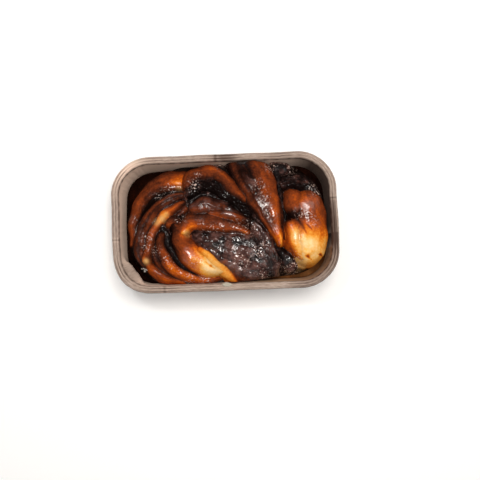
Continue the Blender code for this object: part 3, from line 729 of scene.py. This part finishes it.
def dome(x, y):
    """Height of the risen loaf: a quarter ellipse in from the outline, then level."""
    run = 1 - np.clip(depth_inside(x, y) / DOME_RISE, 0, 1)
    return DOME_EDGE + (DOME_CREST - DOME_EDGE) * np.sqrt(1 - run**2)


def strand_height(v, half_width, arched, strand):
    """A round crown across the strand, its crest at the dome's height plus its lift, then steep flanks."""
    inside = np.minimum(np.abs(v), 1)
    height = arched + strand.lift - strand.crown * (1 - np.sqrt(1 - (STRAND_ROUND * inside) ** 2))
    for middle, reach, depth in strand.creases:
        height = height - depth * np.exp(-(((v - middle) / reach) ** 2))
    return height - STRAND_FLANK * half_width * np.maximum(np.abs(v) - 1, 0)


def uneven(x, y):
    """The places shifted by up to half a millimetre, as dough stretched by hand is never even."""
    shift_x = 0.35 * np.sin(0.19 * x + 0.33 * y + 1.3) + 0.25 * np.sin(0.47 * y - 0.21 * x)
    shift_y = 0.35 * np.sin(0.23 * x - 0.29 * y + 0.4) + 0.25 * np.sin(0.41 * x + 0.17 * y + 2.1)
    return x + shift_x, y + shift_y


def crust(x, y):
    """The bread's height, browning, share of filling, painted shade by creases and low places, and place on a
    strand.
    """
    px, py = uneven(x, y)
    arched = dome(x, y)
    swollen = dome(px, py)
    height = arched - GROOVE_FLOOR
    top, second = height.copy(), height - 9
    # Ground that no strand covers starts black-brown: dark-baked dough with painted shade of the deep gaps.
    brown, filled, second_filled = np.full(x.shape, 1.1), np.full(x.shape, 0.3), np.ones(x.shape)
    place = np.zeros((*x.shape, 3))
    for number, strand in enumerate([*STRANDS.values(), *FILLINGS.values()]):
        v, half_width, along, length = across(px, py, strand.route)
        own = strand_height(v, half_width, swollen, strand)
        near = np.maximum(STRAND_BLEND - np.abs(height - own), 0) / STRAND_BLEND
        height = np.maximum(height, own) + near**2 * STRAND_BLEND / 4
        wins = own > top
        places, browning, filling = np.array(strand.skin).T
        tone = np.interp(along / length, *np.array(strand.tone).T) if strand.tone else 0
        own_filled = np.interp(v, places, filling)
        second_filled = np.where(wins, filled, np.where(own > second, own_filled, second_filled))
        second = np.where(wins, top, np.maximum(second, own))
        top = np.where(wins, own, top)
        brown = np.where(wins, np.interp(v, places, browning) + tone, brown)
        filled = np.where(wins, own_filled, filled)
        own_place = np.stack([v * half_width, along, np.full(x.shape, NOISE_GAP * number)], -1)
        place = np.where(wins[..., None], own_place, place)
    for sx, sy, radius, browner, fuller in SPOTS:
        share = np.exp(-((x - sx) ** 2 + (y - sy) ** 2) / radius**2)
        brown, filled = brown + browner * share, filled + fuller * share
    for split in SPLITS:
        torn = np.exp(-np.minimum(across(px, py, split)[0], 9) ** 2)
        height, brown = height - SPLIT_DEPTH * torn, brown + SPLIT_BROWNING * torn
    # Painted shade: dark where two strands meet, darker where filling lies between them, and in low places.
    close = np.exp(-np.maximum(top - second, 0) / CREASE_REACH)
    crease = close * (0.35 + 0.65 * np.maximum(filled, second_filled))
    crease = np.maximum(crease, rising(arched - height, LOW_FROM, LOW_RUN))
    return height, brown, filled, crease, place


def pooled(x, y, pools):
    """The greatest amount among pools at each point, each falling off as exp(-(distance / reach)^3)."""
    share = np.zeros(x.shape)
    for px, py, reach, amount in pools:
        share = np.maximum(share, amount * np.exp(-((np.hypot(x - px, y - py) / reach) ** 3)))
    return share


def bubbles(x, y, size, seed):
    """Relief of round swellings with sharp valleys: 1 - |ripple|, kept where it is above 0."""
    return np.maximum(1 - np.abs(ripple(x, y, size, seed)), 0)


def fine_relief(x, y, filled, bubbled_and_glints, place):
    """Low relief in mm: stretched skin, boiled bubbles, long swellings over the filling, and uneven dough."""
    skin = ripple(place[..., 0], 0.2 * place[..., 1] + place[..., 2], 3.4, 21)
    wrinkles = 0.03 * ripple(x, y, 2.4, 25) + 0.1 * ripple(x, y, 5.5, 26)
    lumps = bubbles(x + 0.3 * y, 0.5 * y, 6.5, 22) * 1.1 + bubbles(x, 0.6 * y, 3.2, 23) * 0.3
    boiled = 0.25 * bubbled_and_glints * bubbles(x, y, 2.6, 27)
    return 0.03 * skin + boiled + wrinkles + filled * (lumps - 0.4) + 0.3 * ripple(x, y, 13, 24)


def patch(right, far, left, near):
    """Grid of points between four counterclockwise sides, each curve carried over to the opposite one."""
    near_row, far_row = near, far[::-1]
    left_column, right_column = left[::-1], right
    u = np.linspace(0, 1, len(near_row))[:, None, None]
    v = np.linspace(0, 1, len(left_column))[None, :, None]
    ruled = (1 - v) * near_row[:, None] + v * far_row[:, None]
    ruled = ruled + (1 - u) * left_column[None] + u * right_column[None]
    corners = (
        (1 - u) * (1 - v) * near_row[0]
        + u * (1 - v) * near_row[-1]
        + (1 - u) * v * far_row[0]
        + u * v * far_row[-1]
    )
    return ruled - corners


def towards_wall(x, y, z, filled):
    """Points at height z moved to LOAF_GAP inside the case's wall: wholly if beyond it, else by filled."""
    inset = RIM_WIDTH + WALL_DRAFT * (WALL_TOP - z) / (WALL_TOP - WALL_FOOT) + LOAF_GAP
    radius = CASE_CORNER_RADIUS - inset
    qx = np.maximum(np.abs(x) - (CASE_LENGTH / 2 - inset - radius), 0)
    qy = np.maximum(np.abs(y) - (CASE_WIDTH / 2 - inset - radius), 0)
    reach = np.hypot(qx, qy)
    beyond = (reach - radius) / np.maximum(reach, 1)
    move = np.where(beyond > 0, beyond, filled * beyond)
    return x - np.sign(x) * qx * move, y - np.sign(y) * qy * move


def loaf_grid():
    """Points over the loaf's outline, about GRID_PITCH apart, its sides meeting amid the round corners."""
    radii, steps = LOAF_CORNERS.values(), GRID_CORNER_STEPS
    outline = rounded_outline(LOAF_LEFT, LOAF_RIGHT, LOAF_NEAR, LOAF_FAR, radii, steps, 2)
    run = distance_along(outline)
    stops = [*run[: -1 : steps + 2], run[-1]]
    along = round((LOAF_LEFT + LOAF_RIGHT) / GRID_PITCH * GRID_SHARE_ALONG)
    over = round((LOAF_NEAR + LOAF_FAR) / GRID_PITCH * GRID_SHARE_OVER)
    sides = []
    for start, end, count in zip(stops, stops[1:], (over, along, over, along)):
        at = np.linspace(start, end, count + 1)
        sides.append(np.column_stack([np.interp(at, run, outline[:, k]) for k in (0, 1)]))
    grid = patch(*sides)
    grid[..., 1] *= near_side(grid[..., 0], grid[..., 1])
    return grid


def chocolate(tree, place, depth):
    """Baked chocolate: nearly black where depth is over 0.9 and it pooled, brown where it is thin."""
    grain = noise(tree, place, 170.0, 3.0, 0.6)
    thinned = maths(tree, "ADD", grain, maths(tree, "SUBTRACT", 0.9, depth))
    shades = [(0.34, "#110a09"), (0.45, "#2a1916"), (0.55, "#462c27"), (0.67, "#62413a"), (0.85, "#7e584c")]
    return add_ramp(tree, thinned, shades)


def carried(tree, value, low, high, to_low=0.0, to_high=1.0):
    """value carried from the span low to high onto the span to_low to to_high, and held within it."""
    values = {"Value": value, "From Min": low, "From Max": high, "To Min": to_low, "To Max": to_high}
    return add_node(tree, "ShaderNodeMapRange", values).outputs["Result"]


def swayed(tree, base, value, amount):
    """base + amount * (value - 0.5), so that a noise about 0.5 takes as much as it adds."""
    return maths(tree, "MULTIPLY_ADD", maths(tree, "SUBTRACT", value, 0.5), amount, base)


def glazed_crust():
    """Brioche skin under syrup: browned from gold to black-brown, streaked along each strand, and filled,
    with painted shade in creases and pale specks painted as highlights.
    """
    made, tree, shader = new_material("glazed_crust")
    place = add_node(tree, "ShaderNodeTexCoord").outputs["Object"]
    names = ("brown", "filled", "crease", "pale", "wet", "bubbled_and_glints")
    brown, filled, crease, pale, wet, bubbled_and_glints = [marked(tree, name) for name in names]
    on_strand = {"Vector": marked(tree, "strand", "Vector"), "Scale": (0.3, 0.06, 1.0)}
    streak = noise(tree, add_node(tree, "ShaderNodeMapping", on_strand).outputs["Vector"], 1.0, 3.0)
    mottle = noise(tree, place, 150.0, 3.0)
    fine = noise(tree, place, 700.0, 4.0, 0.6)
    froth = noise(tree, place, 800.0, 1.0)

    browning = swayed(tree, swayed(tree, swayed(tree, brown, fine, 0.3), mottle, 0.34), streak, 0.3)
    shades = [(0.05, "#ebc690"), (0.2, "#e6ae60"), (0.32, "#de9136"), (0.43, "#cb6a19"), (0.53, "#a94b12")]
    shades += [(0.64, "#803817"), (0.76, "#5c2915"), (0.88, "#361910"), (1.0, "#1a0c09")]
    skin = blended(tree, pale, add_ramp(tree, browning, shades), linear("#c4985e"))
    covered = carried(tree, swayed(tree, swayed(tree, filled, fine, 0.8), streak, 0.9), 0.3, 0.72)
    surface = blended(tree, covered, skin, chocolate(tree, place, brown))
    # Painted shade in creases and low places.
    shaded = blended(tree, maths(tree, "MULTIPLY", crease, 0.85), surface, linear("#0d0604"))
    # Painted highlights: pale specks where the glaze bubbled, standing for glints.
    glint_specks = maths(tree, "MULTIPLY", carried(tree, froth, 0.58, 0.7), bubbled_and_glints)
    with_painted_glints = blended(tree, glint_specks, shaded, linear("#e3c2b2"))

    beaded = maths(tree, "MULTIPLY_ADD", covered, 0.3, bubbled_and_glints)
    beads = carried(tree, froth, 0.44, 0.58)
    values = {
        "Base Color": with_painted_glints,
        "Roughness": 0.55,
        "Specular IOR Level": 0.0,
        "Coat Weight": maths(tree, "MULTIPLY_ADD", beads, beaded, wet, use_clamp=True),
        "Coat IOR": GLAZE_IOR,
        "Coat Roughness": carried(tree, maths(tree, "MAXIMUM", covered, bubbled_and_glints), 0.0, 1.0, 0.24, 0.1),
    }
    connect(tree, shader, values)
    pitted = maths(tree, "MULTIPLY", froth, maths(tree, "MULTIPLY_ADD", covered, 0.25, bubbled_and_glints))
    grained = maths(tree, "MULTIPLY", fine, maths(tree, "SUBTRACT", 1.05, wet))
    relief = maths(tree, "MULTIPLY_ADD", grained, 0.28, swayed(tree, pitted, streak, 0.05))
    add_bump(tree, shader, relief, 1.0, 0.0008)
    return made


def whole_loaf():
    """The bread as a closed surface: the fine top, sides down the case's wall and a flat base."""
    grid = loaf_grid()
    x, y = grid[..., 0], grid[..., 1]
    height, brown, filled, crease, place = crust(x, y)
    channel = place[..., 2] >= NOISE_GAP * len(STRANDS)
    bubbled_and_glints, dull = pooled(x, y, BUBBLED), pooled(x, y, DULL)
    glinting = np.clip(0.5 + 0.8 * ripple(x, 0.6 * y, 9, 28), 0.15, 1)
    shine = 0.6 * filled * (glinting * (1 - bubbled_and_glints) * (1 - dull))
    wet = np.maximum(pooled(x, y, POOLS), shine) - 0.25 * dull
    height = height + fine_relief(x, y, filled, bubbled_and_glints, place) - CHANNEL_SINK * channel
    highest = cad_box[1][2] / MM - TOP_MARGIN
    height = np.where(height > highest, highest + 0.4 * (height - highest), height)
    top = np.stack([*towards_wall(x, y, np.minimum(height, WALL_TOP), 0), height], -1)
    columns, rows = x.shape
    index = np.arange(columns * rows).reshape(columns, rows)
    rim = np.concatenate([index[:-1, 0], index[-1, :-1], index[:0:-1, -1], index[0, :0:-1]])
    edge = top.reshape(-1, 3)[rim]
    rings = [edge * (0.994, 0.99, 1) - (0, 0, 2)]
    base = BOARD + LOAF_GAP
    for z, inward in ((FILLED_TO, 0.0), (base + BASE_ROUNDING, 0.0), (base, BASE_ROUNDING)):
        bx, by = towards_wall(edge[:, 0], edge[:, 1], z, CORNER_FILL)
        shrink = 1 - inward / (CASE_WIDTH / 2)
        rings.append(np.column_stack([bx * shrink, by * shrink, np.full(len(rim), z)]))
    points = np.vstack([top.reshape(-1, 3), *rings])
    count, start = len(rim), columns * rows
    loops = np.vstack([rim, *(start + k * count + np.arange(count) for k in range(len(rings)))])
    side = grid_faces(len(loops), count, True)
    quads = np.vstack([grid_faces(columns, rows), loops.ravel()[side]])
    # The sides are dark-baked with painted shade; along the near right they carry less painted shade and are
    # paler, as painted light.
    lit_side = np.tile(rising(edge[:, 0], 25, 15) * (edge[:, 1] < -20), len(rings))
    top_and_sides = {
        "brown": (brown, 0.92 - 0.2 * lit_side),
        "filled": (filled, 0 * lit_side),
        "crease": (crease, 0.7 - 0.45 * lit_side),
        "wet": (wet, 0 * lit_side),
        "pale": (0.75 * pooled(x, y, PALE_DOUGH), 0.4 * lit_side),
        "bubbled_and_glints": (bubbled_and_glints, 0 * lit_side),
    }
    values = {name: np.concatenate([over.ravel(), under]) for name, (over, under) in top_and_sides.items()}
    values["strand"] = np.vstack([place.reshape(-1, 3), np.zeros((len(lit_side), 3))])
    return points, quads, loops[-1][::-1], values


points, quads, base_face, values = whole_loaf()
loaf = add_mesh("loaf_crust", points, quads, glazed_crust(), caps=(base_face,), values=values)
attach(loaf, "root")
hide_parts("loaf")

# Filling
# Chocolate and butter paste that was spread over the sheet. Where two strands part it shows as a bubbly,
# glossy seam, which boiled up between them in the oven and set.
SEAM_DEPTH = 3.0
SEAM_PITCH = 0.4
SEAM_STEPS = 24
SEAM_MARGIN = 1.2
SEAM_OVERLAP = 1.08


def baked_chocolate():
    """Glossy black-brown filling with burst bubbles and sugary grains."""
    made, tree, shader = new_material("baked_chocolate_filling")
    place = add_node(tree, "ShaderNodeTexCoord").outputs["Object"]
    fine = noise(tree, place, 900.0, 3.0)
    values = {
        "Base Color": chocolate(tree, place, 1.08),
        "Roughness": carried(tree, fine, 0.0, 1.0, 0.2, 0.55),
        "Specular IOR Level": 0.03,
        "Coat Weight": marked(tree, "wet"),
        "Coat IOR": GLAZE_IOR,
        "Coat Roughness": 0.1,
    }
    connect(tree, shader, values)
    cells = add_node(tree, "ShaderNodeTexVoronoi", {"Vector": place, "Scale": 620.0}, feature="SMOOTH_F1")
    add_bump(tree, shader, maths(tree, "MULTIPLY_ADD", fine, 0.6, cells.outputs["Distance"]), 0.9, 0.0008)
    return made


def seam(strand):
    """A closed ribbon along the route, its top on the crust and dipping at the edges, and how wet it is.

    Its underside lies SEAM_DEPTH below the crust, and both ends taper to a point.
    """
    samples = route_samples(strand.route, SEAM_STEPS)
    samples = samples[depth_inside(samples[:, 0], samples[:, 1]) > SEAM_MARGIN]
    run = distance_along(samples[:, :2])
    at = np.linspace(0, run[-1], round(run[-1] / SEAM_PITCH))
    line = np.column_stack([np.interp(at, run, samples[:, k]) for k in range(3)])
    direction = np.gradient(line[:, :2], axis=0)
    direction /= np.linalg.norm(direction, axis=1)[:, None]
    normal = np.column_stack([-direction[:, 1], direction[:, 0]])
    from_end = np.minimum(at, run[-1] - at) / line[:, 2]
    taper = np.sqrt(1 - (1 - np.clip(from_end, 0.02, 1)) ** 2)
    width = round(2 * line[:, 2].max() / SEAM_PITCH) | 1
    turn = np.linspace(0, 2 * np.pi, 2 * width, endpoint=False)
    w = np.cos(turn)
    half_width = (line[:, 2] * taper * SEAM_OVERLAP)[:, None]
    x, y = (line[:, k, None] + normal[:, k, None] * half_width * w for k in (0, 1))
    px, py = uneven(x, y)
    height = strand_height(*across(px, py, strand.route)[:2], dome(px, py), strand)
    boiling = pooled(x, y, BUBBLED) * (1 - pooled(x, y, DULL))
    lumps = bubbles(x, y, 4.2, 31) * (0.4 + 0.6 * boiling) + bubbles(x, y, 2, 32) * 0.3 * boiling
    upper = height + 0.8 * (lumps - 0.3) * (1 - w**2)
    z = np.where(np.sin(turn) >= 0, upper, height - SEAM_DEPTH * np.abs(np.sin(turn)))
    z[[0, -1]] = height[[0, -1]] - SEAM_DEPTH / 2
    return np.stack([x, y, z], -1), 0.04 + 0.8 * boiling


filling_finish = baked_chocolate()
for name, strand in FILLINGS.items():
    tube, wet = seam(strand)
    piece = add_tube(name + "_seam", tube, filling_finish, {"wet": wet.ravel()})
    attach(piece, "root")
    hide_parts(name)

# Crumbs
# Coarse sugar that fell beside the near left corner, and a pale scrap of baked dough on the near rim.
SUGAR_AT = (-57.0, -31.0)
SUGAR_SPREAD = (1.3, 1.0)
SUGAR_BITS = 9
SUGAR_SIZE = 0.7
SCRAP_AT = (-0.3, -43.4, 49.7)
SCRAP_SIZE = (3.2, 1.2, 0.4)


def lump(centre, half_sizes, seed):
    """A closed lump: a ball's points p times 1 + 0.3 ripple(p), then times half_sizes, moved to centre."""
    tilt = np.radians(np.linspace(3, 177, 16))[:, None]
    turn = np.radians(np.arange(0, 360, 15))[None]
    sides = (np.sin(tilt) * np.cos(turn), np.sin(tilt) * np.sin(turn), np.cos(tilt))
    ball = np.stack(np.broadcast_arrays(*sides), -1)
    rough = 1 + 0.3 * ripple(ball[..., 0] + ball[..., 2], ball[..., 1] - ball[..., 2], 1.2, seed)
    return ball * rough[..., None] * half_sizes + centre


def pale_crumb(name, colour):
    """Dry, matt sugar or dough of one colour."""
    made, tree, shader = new_material(name)
    connect(tree, shader, {"Base Color": linear(colour), "Roughness": 0.6})
    return made


def add_lump(name, centre, half_sizes, seed, finish):
    """One crumb as a mesh piece of its own that moves with the case."""
    piece = add_tube(name, lump(centre, half_sizes, seed), finish)
    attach(piece, "root")


sugar = pale_crumb("coarse_sugar", "#a8a199")
rng = np.random.default_rng(43)
fallen = np.array(SUGAR_AT) + rng.normal(0, 1, (SUGAR_BITS, 2)) * SUGAR_SPREAD
resting = crust(fallen[:, 0], fallen[:, 1])[0] + SUGAR_SIZE / 2
for number, centre in enumerate(np.column_stack([fallen, resting])):
    add_lump(f"sugar_bit_{number}", centre, SUGAR_SIZE * rng.uniform(0.4, 1, 3), 50 + number, sugar)
add_lump("dough_scrap", SCRAP_AT, SCRAP_SIZE, 42, pale_crumb("dry_dough", "#a49c8c"))

# Studio
# A white floor and world, four large soft lights overhead, left, right and far, two small bright ones that
# make the glints, and the camera almost straight above.
FLOOR_SIZE = 3000.0
CAMERA_HEIGHT = 450.0
VIEW_WIDTH = 332.0
AIM = (10.4, -12.7)
ELEVATION = 86.0
ROLL = 2.3
SENSOR_WIDTH = 36.0


def add_light(name, size, height, aside, towards, power, colour):
    """A square area light that faces the loaf."""
    data = bpy.data.lights.new(name, "AREA")
    data.size = size * MM
    data.energy = power
    data.color = linear(colour)[:3]
    made = bpy.data.objects.new(name, data)
    made.location = np.array([aside, towards, height]) * MM
    direction = made.location.copy()
    made.rotation_mode = "QUATERNION"
    made.rotation_quaternion = direction.to_track_quat("Z", "Y")
    bpy.context.scene.collection.objects.link(made)


def floor_surface():
    """Matt white floor, a flat square a hair under the case."""
    made, tree, shader = new_material("studio_floor")
    connect(tree, shader, {"Base Color": linear("#ffffff"), "Roughness": 0.9})
    half, low = FLOOR_SIZE / 2, -0.05
    corners = np.array([(-half, -half, low), (half, -half, low), (half, half, low), (-half, half, low)])
    return add_mesh("studio_floor", corners, np.array([[0, 1, 2, 3]]), made)


floor_surface()
world = bpy.data.worlds.new("studio")
world.use_nodes = True
sky = world.node_tree
connect(sky, sky.nodes["Background"], {"Color": linear("#ffffff"), "Strength": 0.22})
bpy.context.scene.world = world
add_light("overhead", 190.0, 700.0, 60.0, 60.0, 2.6, "#fffaf4")
add_light("left_side", 260.0, 400.0, -460.0, 40.0, 0.5, "#fffaf4")
add_light("right_side", 500.0, 400.0, 460.0, 40.0, 0.9, "#fffaf4")
add_light("far_side", 600.0, 560.0, 0.0, 380.0, 0.6, "#fffaf4")
add_light("sparkle_left", 36.0, 600.0, -110.0, 110.0, 0.5, "#ffffff")
add_light("sparkle_near", 36.0, 600.0, 60.0, -150.0, 0.4, "#ffffff")

turn = np.radians(ROLL)
aim_x = AIM[0] * np.cos(turn) + AIM[1] * np.sin(turn)
aim_y = -AIM[0] * np.sin(turn) + AIM[1] * np.cos(turn)
lean = np.radians(90 - ELEVATION)
camera = bpy.data.objects.new("camera", bpy.data.cameras.new("camera"))
camera.data.sensor_width = SENSOR_WIDTH
camera.data.lens = SENSOR_WIDTH * CAMERA_HEIGHT / VIEW_WIDTH
camera.rotation_mode = "XYZ"
camera.rotation_euler = (lean, 0.0, -turn)
back = np.array([-np.sin(lean) * np.sin(turn), -np.sin(lean) * np.cos(turn), np.cos(lean)])
camera.location = (np.array([aim_x, aim_y, CASE_HEIGHT]) + CAMERA_HEIGHT * back) * MM
bpy.context.scene.collection.objects.link(camera)
bpy.context.scene.camera = camera
bpy.context.scene.view_settings.view_transform = "Standard"
